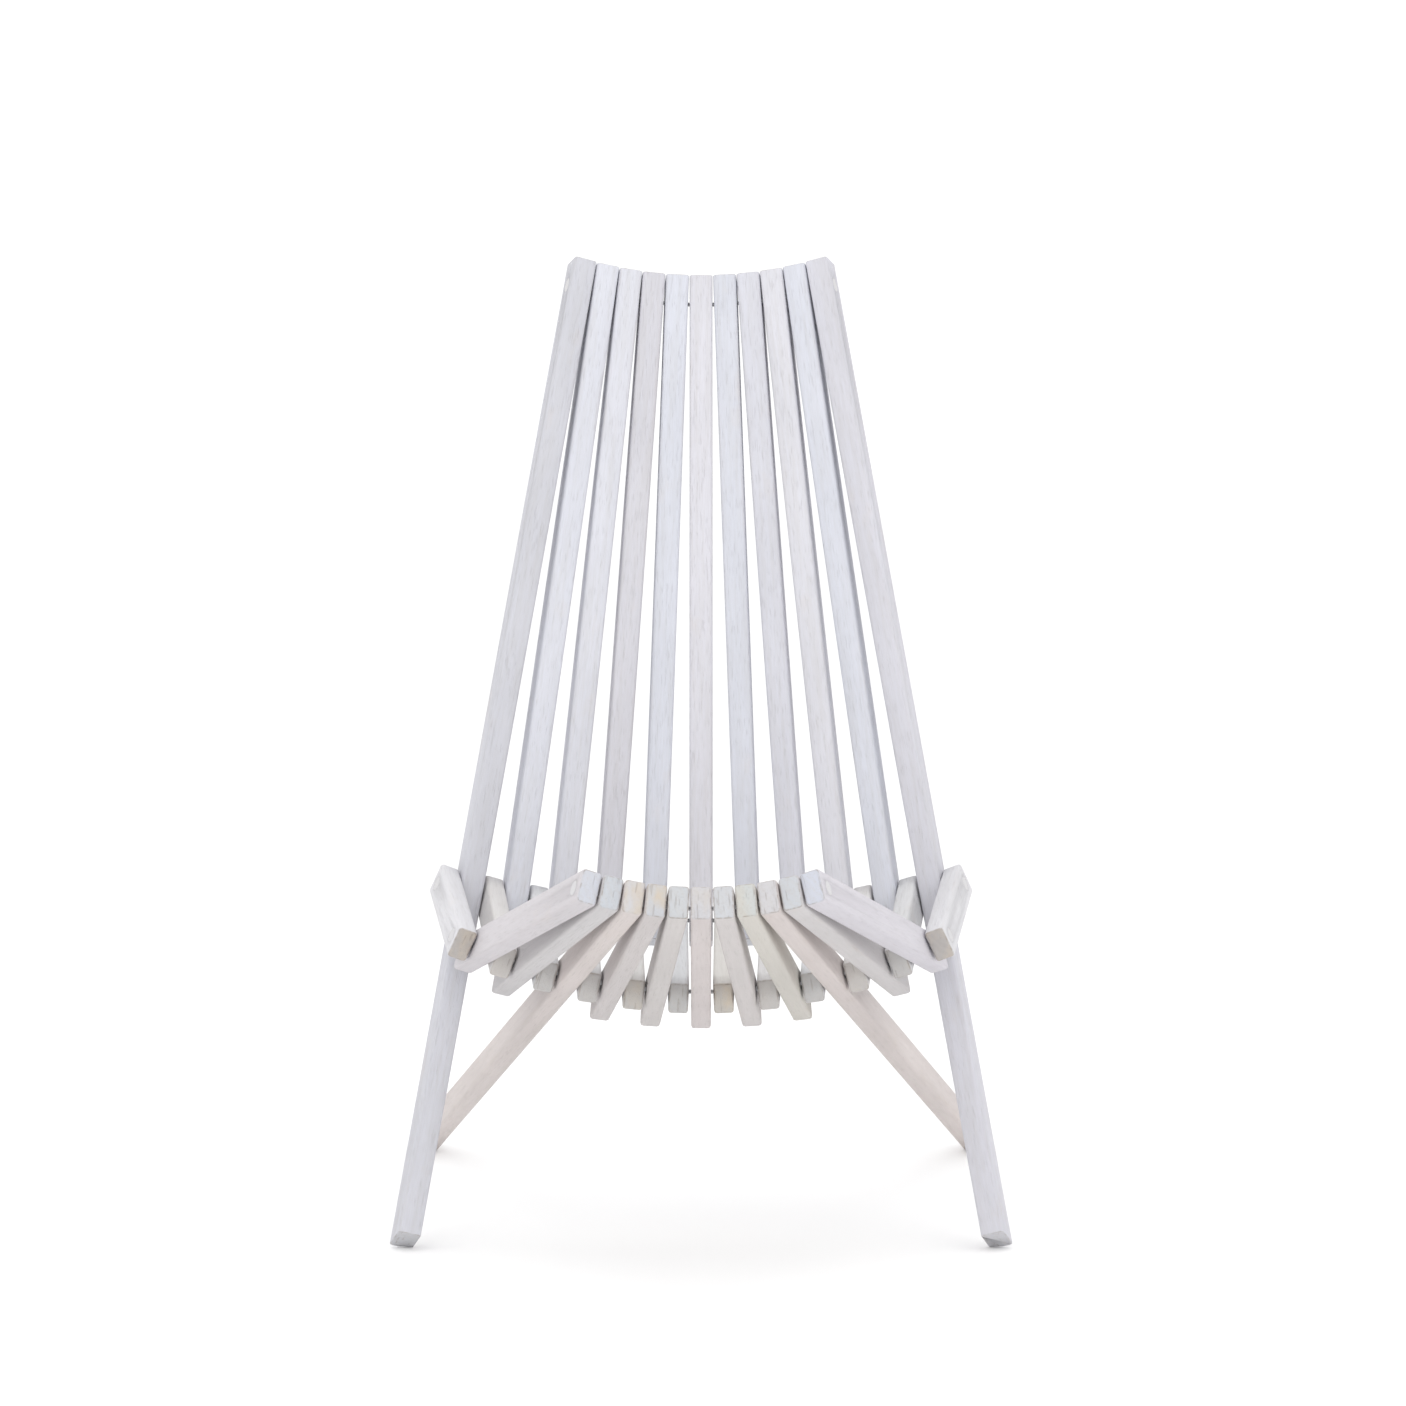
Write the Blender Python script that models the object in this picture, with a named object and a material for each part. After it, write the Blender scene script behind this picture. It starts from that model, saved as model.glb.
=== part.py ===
"""Folding stick lounge chair, open and standing, in metres with +Z up and its front towards -Y.

Thin wooden sticks are strung side by side on four bowed cross wires. Seat sticks, short links and back
sticks interleave where they share a wire, and the wires are the chair's only pivots. The two longest
seat sticks run on as the rear legs, and the two outermost back sticks run on as the front legs.
"""

import math

import bmesh
import bpy
from mathutils import Matrix, Vector

# Sticks
SLIM = 0.0190
WIDE = 0.0228
DEPTH = 0.0316
EDGE_ROUND = 0.0028
ROUND_STEPS = 3
SEAT_SIDE = 5
BACK_SIDE = 5
LINK_SIDE = 6
REAR_LEG = 3
SEAT_NOSE = 0.0190
SEAT_TAIL = 0.0740
OUTER_SEAT_TAIL = 0.0460
LINK_OVERHANG = 0.0170
BACK_TOP = 0.0265
BACK_TAIL = 0.0230

SEAT_SHARE = -0.55
LINK_SHARE = 0.155
BACK_SHARE = 0.43

# Wires: middle point (y, z), bow radius, lean of the bow's rise from vertical, pitch of its sticks
WIRES = {
    "front": {"at": (-0.4425, 0.3582), "radius": 0.359, "lean": -5.7, "pitch": 0.0219},
    "seat": {"at": (-0.1926, 0.2489), "radius": 0.535, "lean": 0.3, "pitch": 0.0430},
    "back": {"at": (-0.0361, 0.2982), "radius": 0.652, "lean": -40.7, "pitch": 0.0462},
    "top": {"at": (0.1728, 0.8928), "radius": 0.360, "lean": -36.7, "pitch": 0.0251},
}
# A bowed wire turns about a straight line across the chair, this far up its bow from its middle
SEAT_HINGE_RISE = 0.041
LINK_HINGE_RISE = 0.030
WIRE_DIAMETER = 0.0040
WIRE_POINTS = 25
HOLE_DIAMETER = 0.0098
HOLE_SIDES = 12

# End fittings, sunk into the outermost sticks
POCKET_DIAMETER = 0.0150
POCKET_DEPTH = 0.0085
NUT_ACROSS = 0.0110
NUT_THICK = 0.0030
NUT_BORE = 0.0066
PLUG_THICK = 0.0030
WIRE_PAST_NUT = 0.0008
GAP = 0.0003

# Feet: each leg's middle line ends this high, and the floor trims the corner below it
FOOT_HEIGHT = 0.0040
FLOOR_CUT = 0.1

WOOD = (0.80, 0.79, 0.78, 1.0)
STEEL = (0.55, 0.55, 0.56, 1.0)


def clear_scene():
    for obj in list(bpy.data.objects):
        bpy.data.objects.remove(obj, do_unlink=True)


def material(name, colour, roughness, metallic=0.0):
    mat = bpy.data.materials.new(name)
    mat.use_nodes = True
    shader = mat.node_tree.nodes["Principled BSDF"]
    shader.inputs["Base Color"].default_value = colour
    shader.inputs["Roughness"].default_value = roughness
    shader.inputs["Metallic"].default_value = metallic
    return mat


def wire_point(wire, along):
    """The point and the unit tangent on a bowed wire, a length along from its middle."""
    spec = WIRES[wire]
    angle = along / spec["radius"]
    lean = math.radians(spec["lean"])
    rise = Vector((0, math.sin(lean), math.cos(lean)))
    middle = Vector((0, *spec["at"]))
    across = Vector((math.sin(angle), 0, 0)) + rise * (1 - math.cos(angle))
    tangent = Vector((math.cos(angle), 0, 0)) + rise * math.sin(angle)
    return middle + across * spec["radius"], tangent


def hinge_point(wire, rise):
    """The point on the chair's middle plane that lies this far up a wire's bow."""
    lean = math.radians(WIRES[wire]["lean"])
    return Vector((0, *WIRES[wire]["at"])) + rise * Vector((0, math.sin(lean), math.cos(lean)))


def stick_frame(wire_a, wire_b, place, share):
    """The frame of the stick on two wires at this place: X across it, Y from wire_a to wire_b.

    Its sides lie square to a mean of the wires' directions, in which wire_b has this share. The share
    turns neighbours that meet on one wire until their sides are parallel.
    """
    start, lie_a = wire_point(wire_a, place * WIRES[wire_a]["pitch"])
    end, lie_b = wire_point(wire_b, place * WIRES[wire_b]["pitch"])
    along = (end - start).normalized()
    mean = lie_a * (1 - share) + lie_b * share
    across = (mean - along * mean.dot(along)).normalized()
    up = across.cross(along)
    frame = Matrix((across, along, up)).transposed().to_4x4()
    frame.translation = start
    return frame, (end - start).length


def rounded_bar(name, width, low, high):
    """A bar along Y from low to high, with its four long edges rounded."""
    outline = []
    for turn, (side_x, side_z) in enumerate(((1, 1), (-1, 1), (-1, -1), (1, -1))):
        centre_x = side_x * (width / 2 - EDGE_ROUND)
        centre_z = side_z * (DEPTH / 2 - EDGE_ROUND)
        for step in range(ROUND_STEPS):
            angle = math.radians(90) * (turn + step / (ROUND_STEPS - 1))
            outline.append(
                (centre_x + EDGE_ROUND * math.cos(angle), centre_z + EDGE_ROUND * math.sin(angle))
            )
    mesh = bpy.data.meshes.new(name)
    build = bmesh.new()
    ends = [[build.verts.new((x, y, z)) for x, z in outline] for y in (low, high)]
    build.faces.new(ends[0])
    build.faces.new(reversed(ends[1]))
    for i in range(len(outline)):
        j = (i + 1) % len(outline)
        build.faces.new((ends[0][j], ends[0][i], ends[1][i], ends[1][j]))
    bmesh.ops.recalc_face_normals(build, faces=build.faces)
    build.to_mesh(mesh)
    build.free()
    mesh.set_sharp_from_angle(angle=math.radians(40))
    obj = bpy.data.objects.new(name, mesh)
    bpy.context.collection.objects.link(obj)
    return obj


def round_bar(name, diameter, low, high, sides):
    """A closed cylinder along X, from low to high."""
    mesh = bpy.data.meshes.new(name)
    build = bmesh.new()
    lie = Matrix.Translation(((low + high) / 2, 0, 0)) @ Matrix.Rotation(math.radians(90), 4, "Y")
    bmesh.ops.create_cone(
        build, cap_ends=True, segments=sides, radius1=diameter / 2, radius2=diameter / 2,
        depth=high - low, matrix=lie,
    )
    build.to_mesh(mesh)
    build.free()
    obj = bpy.data.objects.new(name, mesh)
    bpy.context.collection.objects.link(obj)
    return obj


def cut(obj, cutter):
    cutter.hide_render = True
    cutter.display_type = "WIRE"
    modifier = obj.modifiers.new(cutter.name, "BOOLEAN")
    modifier.operation = "DIFFERENCE"
    modifier.solver = "EXACT"
    modifier.object = cutter


def floor_block():
    """Everything below the floor, as a cutter."""
    mesh = bpy.data.meshes.new("floor_block")
    build = bmesh.new()
    size = Matrix.Diagonal((2.0, 2.0, FLOOR_CUT, 1.0))
    bmesh.ops.create_cube(build, size=1.0, matrix=Matrix.Translation((0, 0, -FLOOR_CUT / 2)) @ size)
    build.to_mesh(mesh)
    build.free()
    obj = bpy.data.objects.new("floor_block", mesh)
    bpy.context.collection.objects.link(obj)
    return obj


def empty(name, at):
    obj = bpy.data.objects.new(name, None)
    obj.location = at
    bpy.context.collection.objects.link(obj)
    bpy.context.view_layer.update()
    return obj


def place(obj, frame, parent):
    obj.parent = parent
    obj.matrix_parent_inverse = parent.matrix_world.inverted()
    obj.matrix_world = frame


def stick(name, width, frame, low, high, holes, parent, mat):
    """One stick with a cross hole at each place along it."""
    obj = rounded_bar(name, width, low, high)
    place(obj, frame, parent)
    obj.data.materials.append(mat)
    for number, at in enumerate(holes):
        cutter = round_bar(f"{name}_hole_{number}", HOLE_DIAMETER, -width, width, HOLE_SIDES)
        place(cutter, frame @ Matrix.Translation((0, at, 0)), parent)
        cut(obj, cutter)
    return obj


def side_name(kind, number):
    if number == 0:
        return f"{kind}_c"
    return f"{kind}_{'r' if number > 0 else 'l'}{abs(number)}"


def leg_length(frame):
    """How far along the stick its middle line comes down to the foot's height."""
    heading = frame.col[1]
    return (FOOT_HEIGHT - frame.translation.z) / heading.z


def fitting(wire, side, stick_obj, width, at, parent, wood, steel):
    """The sunk nut and plug that end a wire in the outer face of an outermost stick."""
    frame = stick_obj.matrix_world @ Matrix.Translation((0, at, 0))
    if side < 0:
        frame = frame @ Matrix.Rotation(math.radians(180), 4, "Z")
    face = width / 2
    label = f"wire_{wire}_{{}}_{'r' if side > 0 else 'l'}"
    pocket = round_bar(f"pocket_{wire}_{side}", POCKET_DIAMETER, face - POCKET_DEPTH, face + 0.01, 16)
    place(pocket, frame, parent)
    cut(stick_obj, pocket)
    floor = face - POCKET_DEPTH
    nut = round_bar(label.format("nut"), NUT_ACROSS, floor + GAP, floor + GAP + NUT_THICK, 6)
    place(nut, frame, parent)
    nut.data.materials.append(steel)
    bore = round_bar(f"bore_{wire}_{side}", NUT_BORE, floor - 0.01, face + 0.01, HOLE_SIDES)
    place(bore, frame, parent)
    cut(nut, bore)
    plug = round_bar(label.format("plug"), POCKET_DIAMETER - 2 * GAP, face - PLUG_THICK, face, 16)
    place(plug, frame, parent)
    plug.data.materials.append(wood)


def wire_curve(wire, reach, parent, steel):
    """A bowed wire, its ends just past the nuts."""
    data = bpy.data.curves.new(f"wire_{wire}", "CURVE")
    data.dimensions = "3D"
    data.bevel_depth = WIRE_DIAMETER / 2
    data.bevel_resolution = 2
    data.use_fill_caps = True
    spline = data.splines.new("POLY")
    spline.points.add(WIRE_POINTS - 1)
    for number, point in enumerate(spline.points):
        along = reach * (2 * number / (WIRE_POINTS - 1) - 1)
        point.co = (*wire_point(wire, along)[0], 1)
    obj = bpy.data.objects.new(f"wire_{wire}", data)
    bpy.context.collection.objects.link(obj)
    place(obj, Matrix.Identity(4), parent)
    data.materials.append(steel)


def wire_reach(wire, outermost, width):
    """Half the wire's length, which ends just past the nut in the outermost stick."""
    nut_end = width / 2 - POCKET_DEPTH + GAP + NUT_THICK + WIRE_PAST_NUT
    return outermost * WIRES[wire]["pitch"] + nut_end


def main():
    clear_scene()
    steel = material("zinc_wire", STEEL, 0.40, 1.0)
    plug_wood = material("whitewashed_plug", WOOD, 0.65)
    back_frame = empty("back_frame", (0, 0, 0))
    link_pivot = empty("link_pivot", hinge_point("back", LINK_HINGE_RISE))
    seat_pivot = empty("seat_pivot", hinge_point("seat", SEAT_HINGE_RISE))
    floor = floor_block()

    outer = {}
    for number in range(-SEAT_SIDE, SEAT_SIDE + 1):
        name = side_name("seat_stick", number)
        frame, length = stick_frame("front", "seat", number, SEAT_SHARE)
        leg = abs(number) == REAR_LEG
        outermost = abs(number) == SEAT_SIDE
        tail = leg_length(frame) if leg else length + (OUTER_SEAT_TAIL if outermost else SEAT_TAIL)
        mat = material(name, WOOD, 0.65)
        obj = stick(name, SLIM, frame, -SEAT_NOSE, tail, (0, length), seat_pivot, mat)
        if leg:
            cut(obj, floor)
        if outermost:
            outer["front", number // SEAT_SIDE] = (obj, SLIM, 0, seat_pivot)

    for number in range(-LINK_SIDE, LINK_SIDE + 1):
        if number == 0:
            continue
        where = number - math.copysign(0.5, number)
        name = side_name("link_stick", number)
        frame, length = stick_frame("seat", "back", where, LINK_SHARE)
        mat = material(name, WOOD, 0.65)
        obj = stick(
            name, SLIM, frame, -LINK_OVERHANG, length + LINK_OVERHANG, (0, length), link_pivot, mat
        )
        if abs(number) == LINK_SIDE:
            outer["seat", number // LINK_SIDE] = (obj, SLIM, 0, link_pivot)
            outer["back", number // LINK_SIDE] = (obj, SLIM, length, link_pivot)

    for number in range(-BACK_SIDE, BACK_SIDE + 1):
        name = side_name("back_stick", number)
        frame, length = stick_frame("top", "back", number, BACK_SHARE)
        leg = abs(number) == BACK_SIDE
        tail = leg_length(frame) if leg else length + BACK_TAIL
        mat = material(name, WOOD, 0.65)
        obj = stick(name, WIDE, frame, -BACK_TOP, tail, (0, length), back_frame, mat)
        if leg:
            cut(obj, floor)
            outer["top", number // BACK_SIDE] = (obj, WIDE, 0, back_frame)

    for (wire, side), (obj, width, at, parent) in outer.items():
        fitting(wire, side, obj, width, at, parent, plug_wood, steel)
    wire_curve("front", wire_reach("front", SEAT_SIDE, SLIM), seat_pivot, steel)
    wire_curve("seat", wire_reach("seat", LINK_SIDE - 0.5, SLIM), link_pivot, steel)
    wire_curve("back", wire_reach("back", LINK_SIDE - 0.5, SLIM), link_pivot, steel)
    wire_curve("top", wire_reach("top", BACK_SIDE, WIDE), back_frame, steel)


main()
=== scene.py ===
"""Looks for the folding stick chair: whitewashed sticks with softened ends, on a pale floor."""

import math

import bmesh
import bpy
import numpy as np
from mathutils import Matrix, Vector


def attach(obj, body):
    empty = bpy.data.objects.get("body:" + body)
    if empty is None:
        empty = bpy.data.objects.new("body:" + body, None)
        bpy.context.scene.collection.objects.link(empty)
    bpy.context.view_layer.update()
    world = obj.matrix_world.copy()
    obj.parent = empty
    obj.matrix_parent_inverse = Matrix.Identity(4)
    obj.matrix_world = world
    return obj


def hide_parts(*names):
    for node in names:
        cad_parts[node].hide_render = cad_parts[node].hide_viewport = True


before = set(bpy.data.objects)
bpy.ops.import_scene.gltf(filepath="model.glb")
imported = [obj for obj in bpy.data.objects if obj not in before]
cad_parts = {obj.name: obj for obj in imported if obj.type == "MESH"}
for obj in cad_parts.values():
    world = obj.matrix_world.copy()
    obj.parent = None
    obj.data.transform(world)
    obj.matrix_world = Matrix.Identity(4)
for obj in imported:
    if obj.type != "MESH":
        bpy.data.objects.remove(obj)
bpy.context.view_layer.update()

# Each kind of stick: the body it rides, how far its ends are rounded, in metres, the number of its first
# stick, its whitewash and the wash on its end grain
KINDS = {
    "seat_stick": {
        "body": "seat_frame", "round": 0.0026, "first": 0,
        "wash": (0.615, 0.588, 0.588), "end": (0.580, 0.598, 0.632),
    },
    "link_stick": {
        "body": "links", "round": 0.0026, "first": 20,
        "wash": (0.680, 0.675, 0.680), "end": (0.555, 0.540, 0.530),
    },
    "back_stick": {
        "body": "back_frame", "round": 0.0013, "first": 40,
        "wash": (0.665, 0.668, 0.722), "end": (0.640, 0.645, 0.680),
    },
}
FRONT_LEGS = ("back_stick_l5", "back_stick_r5")
# The front legs' feet are cut this far off square, so that their end faces look forwards
FOOT_TILT = math.radians(16)

# Softening
ROUND_SEGMENTS = 4
WELD = 1e-6
# Faces closer in angle than the first are one face, and a rim is sharper than the second
FLAT_ANGLE = math.radians(0.6)
RIM_ANGLE = math.radians(25)
SMOOTH_ANGLE = math.radians(50)
# An end face is larger than this, in square metres, and the facets of a cross hole are smaller
END_AREA = 8e-5
# An end face looks along the stick at least this much, as the cosine of its angle to it
END_FACING = 0.3
# A long side looks along the stick at most this much
SIDE_FACING = 0.05
# A flat side or end looks along one of the stick's axes at least this much
FLAT_FACING = 0.999
# End grain sets in on a face that looks along the stick between these two amounts
GRAIN_FACING = (0.35, 0.75)
# Wear reaches this far in from a long edge, in metres
WEAR_REACH = 0.003

# End grain that stands apart from its kind
END_WASH = {"link_stick_r6": (0.430, 0.405, 0.380), "link_stick_l6": (0.430, 0.405, 0.380)}
# How much tan shows in a stick's end grain, where it isn't the usual trace
USUAL_TAN = 0.06
TAN = {
    "seat_stick_c": 0.25, "seat_stick_l2": 0.75, "seat_stick_l3": 0.60, "seat_stick_r2": 0.30,
    "link_stick_r1": 0.70, "link_stick_l2": 0.40, "link_stick_r6": 0.45, "link_stick_l6": 0.45,
}
# The sticks whose tint stands out, as (red, green, blue) factors
TINTS = {
    "seat_stick_l5": (1.03, 1.03, 1.07),
    "seat_stick_l3": (1.045, 1.00, 0.975),
    "seat_stick_l2": (0.965, 0.95, 0.945),
    "seat_stick_l1": (0.985, 0.98, 0.965),
    "seat_stick_c": (1.02, 0.98, 0.97),
    "seat_stick_r2": (1.00, 1.00, 0.93),
    "seat_stick_r3": (1.045, 0.995, 0.97),
    "seat_stick_r5": (1.04, 1.05, 1.12),
    "link_stick_l6": (1.03, 1.03, 1.06),
    "link_stick_l2": (0.98, 0.965, 0.94),
    "link_stick_r1": (1.00, 0.98, 0.93),
    "link_stick_r6": (1.03, 1.03, 1.06),
    "back_stick_l5": (0.895, 0.895, 0.895),
    "back_stick_l2": (0.920, 0.907, 0.904),
    "back_stick_c": (1.01, 0.995, 0.99),
    "back_stick_r2": (0.954, 0.953, 0.962),
    "back_stick_r5": (0.935, 0.926, 0.930),
}
# How the other sticks stray from their kind: how far, the step from one stick to the next, and the start
WARM_STRAY = (0.018, 2.399, 0.7)
LIGHT_STRAY = (0.020, 3.883, 2.1)
# All the wood's tints are held down by this factor, under light bright enough to turn the floor white
TONE = 0.93
# The whitewash varies along a stick between its own colour and this much of it
PALER = 1.07
# Where a stick reads the noise: the start, in steps, and the step from one stick to the next, as X, Y, Z
NOISE_START = 3.0
NOISE_STEP = (0.731, 1.37, 0.419)
WOOD_SHINE = 0.32
# How far each mark of the grain stands out (fibres and bands) or sinks in (pores and checks)
RELIEF = {"fibre": 0.5, "band": 0.5, "pore": 0.8, "check": 1.2}

# Colours inside the wood and on the plugs
BAND = (0.575, 0.560, 0.550)
FIBRE = (0.52, 0.50, 0.49)
PORE = (0.40, 0.375, 0.36)
WORN = (0.50, 0.42, 0.345)
STAIN = (0.62, 0.53, 0.44)
RING = (0.52, 0.50, 0.48)
SPECK = (0.46, 0.43, 0.41)
TAN_WOOD = (0.585, 0.50, 0.395)
CHECK = (0.25, 0.20, 0.16)
# Painted shade on the rims of the stick ends, partly also the wash rubbed thin there
RUB_AND_SHADE = (0.30, 0.25, 0.21)
PLUG = (0.625, 0.620, 0.635)
PLUG_RING = (0.53, 0.51, 0.50)

# Zinc plate: its spangle's two tones and its dull patches
ZINC_DARK = (0.66, 0.66, 0.68)
ZINC_LIGHT = (0.78, 0.78, 0.80)
ZINC_DULL = (0.50, 0.48, 0.46)

# Studio, in metres and watts
FLOOR_REACH = 14.0
FLOOR_CELLS = 24
FLOOR_DROP = 0.0004
FLOOR_COLOUR = (0.985, 0.985, 0.985)
# The floor's tooth darkens it by these factors
FLOOR_TOOTH = (0.985, 0.985, 0.985)
FLOOR_ROUGHNESS = 0.95
FLOOR_SHINE = 0.1
CHAIR_MIDDLE = (0, 0, 0.45)
LAMPS = {
    "key": {"at": (-1.2, -3.6, 3.0), "width": 2.6, "power": 22},
    "fill": {"at": (2.4, -3.0, 1.4), "width": 3.0, "power": 10},
    "over": {"at": (0.0, 0.4, 3.4), "width": 3.2, "power": 10},
}
SKY_COLOUR = (1.0, 1.0, 1.0)
SKY_STRENGTH = 1.09

# Camera: in front of the chair, a little above it and far away. Sensor and lens are in millimetres
CAMERA_DISTANCE = 6.3665
CAMERA_HEIGHT = 1.063
CAMERA_TILT = math.radians(4.98)
SENSOR_WIDTH = 36.0
LENS_LENGTH = 167.2233
LENS_SHIFT = 0.0014


# ---------------------------------------------------------------- materials


class Tree:
    """A material's nodes, added and linked in one line each."""

    def __init__(self, name):
        self.material = bpy.data.materials.new(name)
        self.material.use_nodes = True
        self.nodes = self.material.node_tree.nodes
        self.links = self.material.node_tree.links
        self.shader = self.nodes["Principled BSDF"]

    def add(self, kind, inputs=None, **settings):
        node = self.nodes.new(kind)
        for key, value in settings.items():
            setattr(node, key, value)
        for key, value in (inputs or {}).items():
            self.feed(node.inputs[key], value)
        return node

    def feed(self, socket, value):
        if isinstance(value, bpy.types.NodeSocket):
            self.links.new(value, socket)
        else:
            socket.default_value = value

    def maths(self, operation, first, second):
        return self.add("ShaderNodeMath", {0: first, 1: second}, operation=operation).outputs[0]

    def times(self, first, second):
        return self.maths("MULTIPLY", first, second)

    def spread(self, value, low, high, to_low=0.0, to_high=1.0):
        """Stretches the values from low to high over to_low to to_high, and holds them there."""
        node = self.add(
            "ShaderNodeMapRange",
            {"Value": value, "From Min": low, "From Max": high, "To Min": to_low, "To Max": to_high},
            clamp=True,
        )
        return node.outputs[0]

    def mix(self, factor, under, over):
        node = self.add("ShaderNodeMix", data_type="RGBA")
        self.feed(node.inputs[0], factor)
        self.feed(node.inputs[6], under)
        self.feed(node.inputs[7], over)
        return node.outputs[2]

    def layer(self, under, over, value, low, high, most=1.0):
        """Lays one colour over another, by nothing where value is low, and by most where it is high."""
        return self.mix(self.spread(value, low, high, to_high=most), under, over)

    def cover(self, under, over, where, most):
        """Lays one colour over another, by nothing where a mask is 0, and by most where it is 1."""
        return self.mix(self.times(where, most), under, over)

    def mark(self, name):
        """What a mesh carries under this name, which is a vector or a number."""
        return self.add("ShaderNodeAttribute", attribute_name=name).outputs

    def object_place(self):
        return self.add("ShaderNodeTexCoord").outputs["Object"]

    def stretched(self, where, scale):
        node = self.add("ShaderNodeMapping", {"Vector": where, "Scale": scale}, vector_type="POINT")
        return node.outputs["Vector"]

    def noise(self, where, scale, detail=3.0, rough=0.6, distortion=0.0):
        node = self.add(
            "ShaderNodeTexNoise",
            {
                "Vector": where, "Scale": scale, "Detail": detail, "Roughness": rough,
                "Distortion": distortion,
            },
        )
        return node.outputs["Fac"]

    def rings(self, where, scale, distortion, detail_scale, axis, detail=3.0):
        node = self.add(
            "ShaderNodeTexWave",
            {
                "Vector": where, "Scale": scale, "Distortion": distortion, "Detail": detail,
                "Detail Scale": detail_scale,
            },
            wave_type="RINGS", rings_direction=axis,
        )
        return node.outputs["Fac"]

    def dress(self, colour, roughness, relief, strength, distance):
        """Sets the surface's colour, roughness and bump, and returns the finished material."""
        bump = self.add(
            "ShaderNodeBump", {"Height": relief, "Strength": strength, "Distance": distance}
        )
        self.feed(self.shader.inputs["Base Color"], colour)
        self.feed(self.shader.inputs["Roughness"], roughness)
        self.feed(self.shader.inputs["Normal"], bump.outputs["Normal"])
        return self.material


def rgba(colour, tint=(1, 1, 1)):
    return (*(part * factor for part, factor in zip(colour, tint)), 1.0)


def stray(size, step, start, number):
    return size * math.sin(number * step + start)


def tint_of(name, number):
    """A stick's own factors: named above, or a small stray worked out from its number."""
    if name in TINTS:
        factors = TINTS[name]
    else:
        warm = stray(*WARM_STRAY, number)
        light = stray(*LIGHT_STRAY, number)
        factors = (1 + light + warm, 1 + light, 1 + light - warm)
    return tuple(TONE * factor for factor in factors)


def whitewashed_sides(tree, at, edge, wash, tint, band, fibre, pores):
    """The colour along a stick: wash with bands, fibres and pores, worn along its edges, and stained."""
    broad = tree.noise(tree.stretched(at, (1.0, 0.25, 1.0)), scale=26.0, rough=0.55)
    paler = rgba([PALER * part for part in wash], tint)
    colour = tree.layer(rgba(wash, tint), paler, broad, low=0.35, high=0.65)
    colour = tree.layer(colour, rgba(BAND, tint), band, low=0.44, high=0.68, most=0.24)
    colour = tree.layer(colour, rgba(FIBRE, tint), fibre, low=0.42, high=0.72, most=0.24)
    colour = tree.cover(colour, rgba(PORE), pores, most=0.18)

    worn = tree.noise(tree.stretched(at, (1.0, 0.18, 1.0)), scale=60.0, detail=4.0)
    wear = tree.times(edge, tree.spread(worn, low=0.48, high=0.70))
    colour = tree.cover(colour, rgba(WORN), wear, most=0.30)
    stain = tree.noise(tree.stretched(at, (1.0, 0.5, 1.0)), scale=34.0)
    return tree.layer(colour, rgba(STAIN), stain, low=0.62, high=0.74, most=0.11)


def end_grain(tree, at, wash, tint, tan_share, checks):
    """The colour on a stick's ends: pale, with faint rings, specks, a share of tan and short checks."""
    rings = tree.rings(at, scale=46.0, distortion=7.0, detail_scale=0.6, axis="Y")
    colour = tree.layer(rgba(wash, tint), rgba(RING), rings, low=0.2, high=0.9, most=0.13)
    speck = tree.noise(at, scale=420.0, detail=2.0, rough=0.5)
    colour = tree.layer(colour, rgba(SPECK), speck, low=0.52, high=0.66, most=0.22)
    tan = tree.noise(tree.stretched(at, (1.0, 1.0, 0.55)), scale=70.0)
    colour = tree.layer(colour, rgba(TAN_WOOD), tan, low=0.40, high=0.66, most=tan_share)
    return tree.cover(colour, rgba(CHECK), checks, most=0.26)


def wood(name, wash, end_wash, tint, tan_share, seed):
    """Whitewashed wood, in the stick's own axes: X across it, Y along it and Z through its depth."""
    tree = Tree(name)
    own = tree.mark("stick_at")["Vector"]
    offset = tuple(seed * step for step in NOISE_STEP)
    at = tree.add("ShaderNodeVectorMath", {0: own, 1: offset}, operation="ADD").outputs[0]
    end = tree.mark("end_grain")["Fac"]
    edge = tree.mark("edge_wear")["Fac"]
    rim = tree.mark("end_rim")["Fac"]

    fibre = tree.noise(tree.stretched(at, (1.0, 0.035, 1.0)), scale=1500.0)
    band = tree.noise(tree.stretched(at, (1.0, 0.045, 0.8)), scale=190.0, rough=0.5, distortion=0.6)
    pore = tree.noise(tree.stretched(at, (1.0, 0.07, 1.0)), scale=900.0, detail=2.0, rough=0.5)
    pores = tree.spread(pore, low=0.60, high=0.72)
    check = tree.noise(tree.stretched(at, (1.0, 1.0, 0.10)), scale=420.0, detail=1.0, rough=0.5)
    checks = tree.spread(check, low=0.66, high=0.70)
    sides = whitewashed_sides(tree, at, edge, wash, tint, band, fibre, pores)
    colour = tree.mix(end, sides, end_grain(tree, at, end_wash, tint, tan_share, checks))
    # The wash is rubbed thin, in a broken line, along the rim of the end
    # Painted shade along the rim of the end, in a broken line that also stands for the wash rubbed thin
    # there
    broken = tree.spread(tree.noise(at, scale=170.0), low=0.42, high=0.62, to_low=0.05, to_high=0.90)
    colour = tree.mix(tree.times(tree.maths("POWER", rim, 2.0), broken), colour, rgba(RUB_AND_SHADE))

    relief = tree.maths("ADD", tree.times(fibre, RELIEF["fibre"]), tree.times(band, RELIEF["band"]))
    relief = tree.maths("SUBTRACT", relief, tree.times(pores, RELIEF["pore"]))
    relief = tree.maths("SUBTRACT", relief, tree.times(tree.times(checks, end), RELIEF["check"]))
    roughness = tree.spread(band, low=0.3, high=0.7, to_low=0.60, to_high=0.78)
    tree.shader.inputs["Specular IOR Level"].default_value = WOOD_SHINE
    return tree.dress(colour, roughness, relief, strength=0.60, distance=0.0006)


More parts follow.
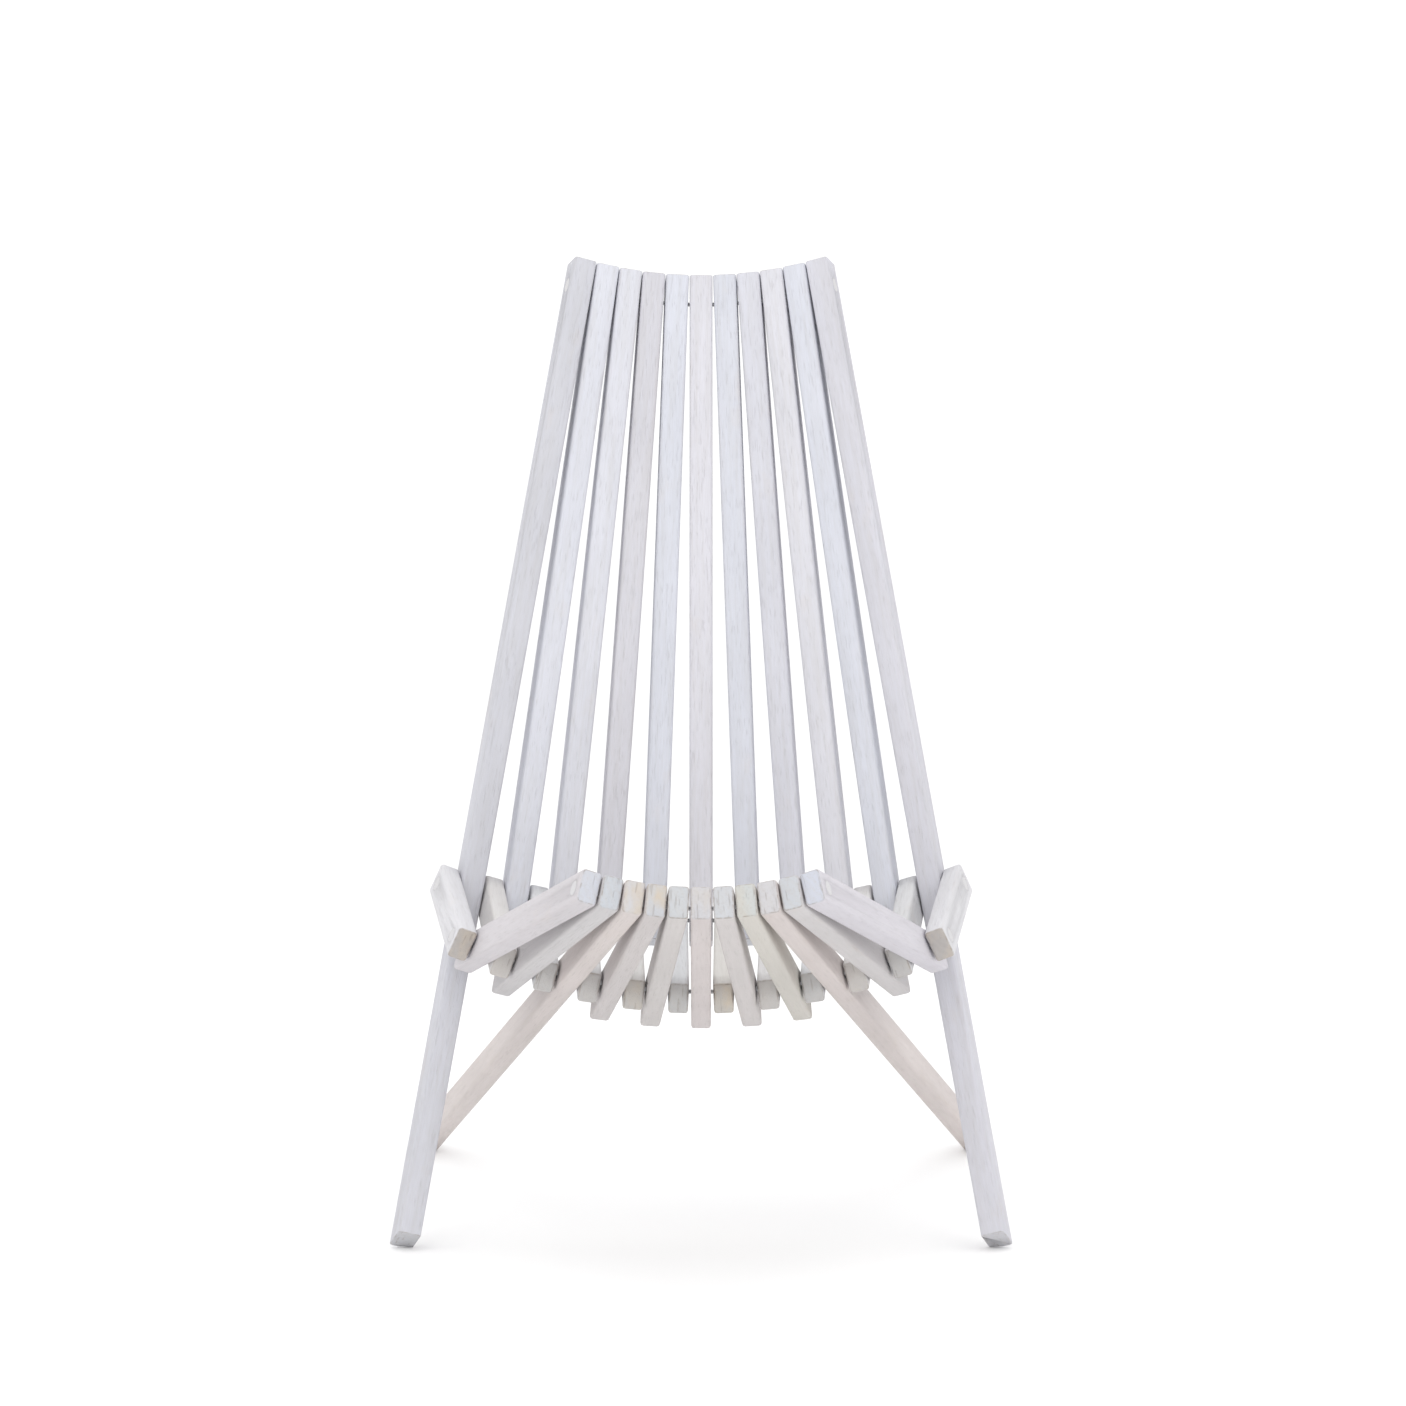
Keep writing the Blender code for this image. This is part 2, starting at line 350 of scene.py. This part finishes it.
def plug_wood(name):
    """Whitewashed end grain with fine rings."""
    tree = Tree(name)
    at = tree.object_place()
    rings = tree.rings(at, scale=180.0, distortion=4.0, detail_scale=1.0, axis="X")
    speck = tree.noise(at, scale=900.0)
    colour = tree.layer(rgba(PLUG), rgba(PLUG_RING), rings, low=0.3, high=0.9, most=0.3)
    colour = tree.layer(colour, rgba(SPECK), speck, low=0.55, high=0.7, most=0.3)
    roughness = tree.spread(speck, low=0.3, high=0.7, to_low=0.62, to_high=0.80)
    return tree.dress(colour, roughness, speck, strength=0.3, distance=0.0003)


def zinc(name):
    """Zinc plate with a faint spangle, dull patches and fine draw lines."""
    tree = Tree(name)
    at = tree.object_place()
    spangle = tree.noise(at, scale=700.0, detail=2.0, rough=0.5)
    lines = tree.noise(tree.stretched(at, (0.05, 1.0, 1.0)), scale=4200.0, detail=2.0)
    dull = tree.noise(at, scale=90.0, detail=4.0)
    colour = tree.layer(rgba(ZINC_DARK), rgba(ZINC_LIGHT), spangle, low=0.4, high=0.6)
    colour = tree.layer(colour, rgba(ZINC_DULL), dull, low=0.55, high=0.75, most=0.4)
    roughness = tree.spread(dull, low=0.3, high=0.7, to_low=0.40, to_high=0.60)
    tree.shader.inputs["Metallic"].default_value = 1.0
    return tree.dress(colour, roughness, lines, strength=0.3, distance=0.0002)


def paper(name):
    """The studio floor: matte, with a barely visible tooth."""
    tree = Tree(name)
    tooth = tree.noise(tree.object_place(), scale=260.0)
    colour = tree.mix(tooth, rgba(FLOOR_COLOUR), rgba(FLOOR_COLOUR, FLOOR_TOOTH))
    tree.feed(tree.shader.inputs["Base Color"], colour)
    tree.shader.inputs["Roughness"].default_value = FLOOR_ROUGHNESS
    tree.shader.inputs["Specular IOR Level"].default_value = FLOOR_SHINE
    return tree.material


# ---------------------------------------------------------------- sticks


def coordinates(mesh):
    flat = np.empty(len(mesh.vertices) * 3)
    mesh.vertices.foreach_get("co", flat)
    return flat.reshape(-1, 3)


def normals(parts):
    """The normals of a mesh's vertices or polygons."""
    return np.array([tuple(part.normal) for part in parts])


def stick_axes(mesh):
    """The stick's middle and its axes, across, along and deep, read from its own solid.

    Along is its longest spread, and its largest long side gives the other two. It is deeper than wide.
    """
    points = coordinates(mesh)
    middle = (points.min(0) + points.max(0)) / 2
    along = np.linalg.svd(points - points.mean(0))[2][0]
    along *= -1 if along[1] < 0 else 1
    long_sides = [face for face in mesh.polygons if abs(np.array(face.normal) @ along) <= SIDE_FACING]
    normal = np.array(max(long_sides, key=lambda face: face.area).normal)
    first = normal - along * (normal @ along)
    first /= np.linalg.norm(first)
    second = np.cross(first, along)
    reach = [np.ptp(points @ axis) for axis in (first, second)]
    across = first if reach[0] < reach[1] else second
    across *= -1 if across[0] < 0 else 1
    deep = np.cross(across, along)
    return Vector(middle), Matrix((across, along, deep)).transposed()


def own_places(mesh, middle, axes):
    """A mesh's points in the stick's own axes."""
    return (coordinates(mesh) - np.array(middle)) @ np.array(axes)


def tilt_foot(build, middle, axes):
    """Cuts the low end of a front leg off square: higher at the leg's front than at its back."""
    _, along, deep = (Vector(column) for column in axes.col)
    low = min((vert.co - middle).dot(along) for vert in build.verts)
    rear = min((vert.co - middle).dot(deep) for vert in build.verts)
    cut = bmesh.ops.bisect_plane(
        build, geom=build.verts[:] + build.edges[:] + build.faces[:], clear_outer=True,
        plane_co=middle + low * along + rear * deep,
        plane_no=deep * math.sin(FOOT_TILT) - along * math.cos(FOOT_TILT),
    )
    rim = [part for part in cut["geom_cut"] if isinstance(part, bmesh.types.BMEdge)]
    bmesh.ops.contextual_create(build, geom=rim)


def round_end(build, middle, along, side, reach):
    """Rounds the rim of one end of a stick. Side is 1 at the end that along points to, or else -1."""
    ends = [
        face
        for face in build.faces
        if abs(face.normal.dot(along)) > END_FACING
        and face.calc_area() > END_AREA
        and side * (face.calc_center_median() - middle).dot(along) > 0
    ]
    rims = {
        edge
        for face in ends
        for edge in face.edges
        if edge.is_manifold and edge.calc_face_angle(0) > RIM_ANGLE
    }
    # A foot has two faces at its end, whose edges lie too close together for the full rounding
    bmesh.ops.bevel(
        build, geom=list(rims), offset=reach, offset_type="OFFSET", segments=ROUND_SEGMENTS,
        profile=0.5, affect="EDGES", clamp_overlap=len(ends) > 1,
    )


def soften(mesh, name, kind, middle, axes):
    """Cuts a front leg's foot, rounds the stick's ends, and smooths only what isn't flat."""
    along = Vector(axes.col[1])
    build = bmesh.new()
    build.from_mesh(mesh)
    # The solid's triangles join into whole flat faces, so that an end shows by its size
    bmesh.ops.remove_doubles(build, verts=build.verts, dist=WELD)
    bmesh.ops.dissolve_limit(build, angle_limit=FLAT_ANGLE, verts=build.verts, edges=build.edges)
    if name in FRONT_LEGS:
        tilt_foot(build, middle, axes)
    build.normal_update()
    for side in (-1, 1):
        round_end(build, middle, along, side, KINDS[kind]["round"])
    build.normal_update()
    for face in build.faces:
        face.smooth = max(abs(face.normal.dot(axis)) for axis in axes.col) < FLAT_FACING
    build.to_mesh(mesh)
    build.free()
    mesh.set_sharp_from_angle(angle=SMOOTH_ANGLE)


def carry(mesh, name, domain, values):
    """Writes a vector or a number on each point or face, for the material to read by this name."""
    kind, slot = ("FLOAT_VECTOR", "vector") if values.ndim == 2 else ("FLOAT", "value")
    attribute = mesh.attributes.new(name, kind, domain)
    attribute.data.foreach_set(slot, values.astype(np.float32).ravel())


def near_outside(places, size):
    """How close points are to the outside along one axis: 0 at the wear's reach from it, and 1 on it."""
    return np.clip((np.abs(places) - (size / 2 - WEAR_REACH)) / WEAR_REACH, 0, 1)


def carry_marks(mesh, solid, middle, axes):
    """Writes what the wood reads from a stick: its places, its end grain, its edges and its rims."""
    along = np.array(axes.col[1])
    width, _, depth = np.ptp(own_places(solid, middle, axes), axis=0)
    places = own_places(mesh, middle, axes)
    carry(mesh, "stick_at", "POINT", places)
    low, high = GRAIN_FACING
    facing = np.abs(normals(mesh.polygons) @ along)
    carry(mesh, "end_grain", "FACE", np.clip((facing - low) / (high - low), 0, 1))
    wear = near_outside(places[:, 0], width) * near_outside(places[:, 2], depth)
    carry(mesh, "edge_wear", "POINT", wear)
    # A rim is strongest where the surface looks 45 degrees off the stick's length. It stops at the large
    # faces, so that it doesn't run on along the stick
    rim = 1 - np.abs(2 * (normals(mesh.vertices) @ along) ** 2 - 1)
    for face in mesh.polygons:
        if face.area > END_AREA:
            rim[list(face.vertices)] = 0
    carry(mesh, "end_rim", "POINT", rim)


def soft_stick(name, kind, number):
    """A copy of a stick's solid with softened ends, which stands for the CAD node."""
    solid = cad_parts[name].data
    middle, axes = stick_axes(solid)
    mesh = solid.copy()
    mesh.name = name + "_shown"
    soften(mesh, name, kind, middle, axes)
    carry_marks(mesh, solid, middle, axes)
    spec = KINDS[kind]
    mesh.materials.clear()
    mesh.materials.append(wood(
        name + "_wood", spec["wash"], END_WASH.get(name, spec["end"]), tint_of(name, number),
        TAN.get(name, USUAL_TAN), number + NOISE_START,
    ))
    piece = bpy.data.objects.new(name + "_soft", mesh)
    bpy.context.scene.collection.objects.link(piece)
    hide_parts(name)
    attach(piece, spec["body"])


def dress_cad(name, material):
    """Puts a material on a carried-over CAD node."""
    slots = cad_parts[name].data.materials
    slots.clear()
    slots.append(material)


# ---------------------------------------------------------------- studio


def studio_floor():
    mesh = bpy.data.meshes.new("studio_floor")
    build = bmesh.new()
    bmesh.ops.create_grid(build, x_segments=FLOOR_CELLS, y_segments=FLOOR_CELLS, size=FLOOR_REACH)
    build.to_mesh(mesh)
    build.free()
    mesh.materials.append(paper("studio_paper"))
    floor = bpy.data.objects.new("studio_floor", mesh)
    bpy.context.scene.collection.objects.link(floor)
    floor.location.z = -FLOOR_DROP


def round_lamp(name, at, width, power):
    """A round area light, aimed at the chair's middle."""
    data = bpy.data.lights.new(name, "AREA")
    data.shape = "DISK"
    data.size = width
    data.energy = power
    lamp = bpy.data.objects.new(name, data)
    lamp.location = at
    lamp.rotation_euler = (Vector(CHAIR_MIDDLE) - Vector(at)).to_track_quat("-Z", "Y").to_euler()
    bpy.context.scene.collection.objects.link(lamp)


def white_sky():
    world = bpy.data.worlds.new("studio")
    bpy.context.scene.world = world
    world.use_nodes = True
    sky = world.node_tree.nodes["Background"]
    sky.inputs["Color"].default_value = rgba(SKY_COLOUR)
    sky.inputs["Strength"].default_value = SKY_STRENGTH


def front_camera():
    lens = bpy.data.cameras.new("photo_view")
    lens.sensor_width = SENSOR_WIDTH
    lens.lens = LENS_LENGTH
    lens.shift_x = LENS_SHIFT
    camera = bpy.data.objects.new("photo_view", lens)
    camera.location = (0, -CAMERA_DISTANCE, CAMERA_HEIGHT)
    camera.rotation_euler = (math.radians(90) - CAMERA_TILT, 0, 0)
    bpy.context.scene.collection.objects.link(camera)
    bpy.context.scene.camera = camera


for kind, spec in KINDS.items():
    members = sorted(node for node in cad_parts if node.startswith(kind))
    for number, name in enumerate(members, start=spec["first"]):
        soft_stick(name, kind, number)

plated = zinc("zinc_plate")
plug_look = plug_wood("plug_end_grain")
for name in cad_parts:
    if name.startswith("wire_"):
        dress_cad(name, plug_look if "plug" in name else plated)

studio_floor()
for name, lamp in LAMPS.items():
    round_lamp(name, **lamp)
white_sky()
front_camera()
bpy.context.scene.view_settings.view_transform = "Standard"
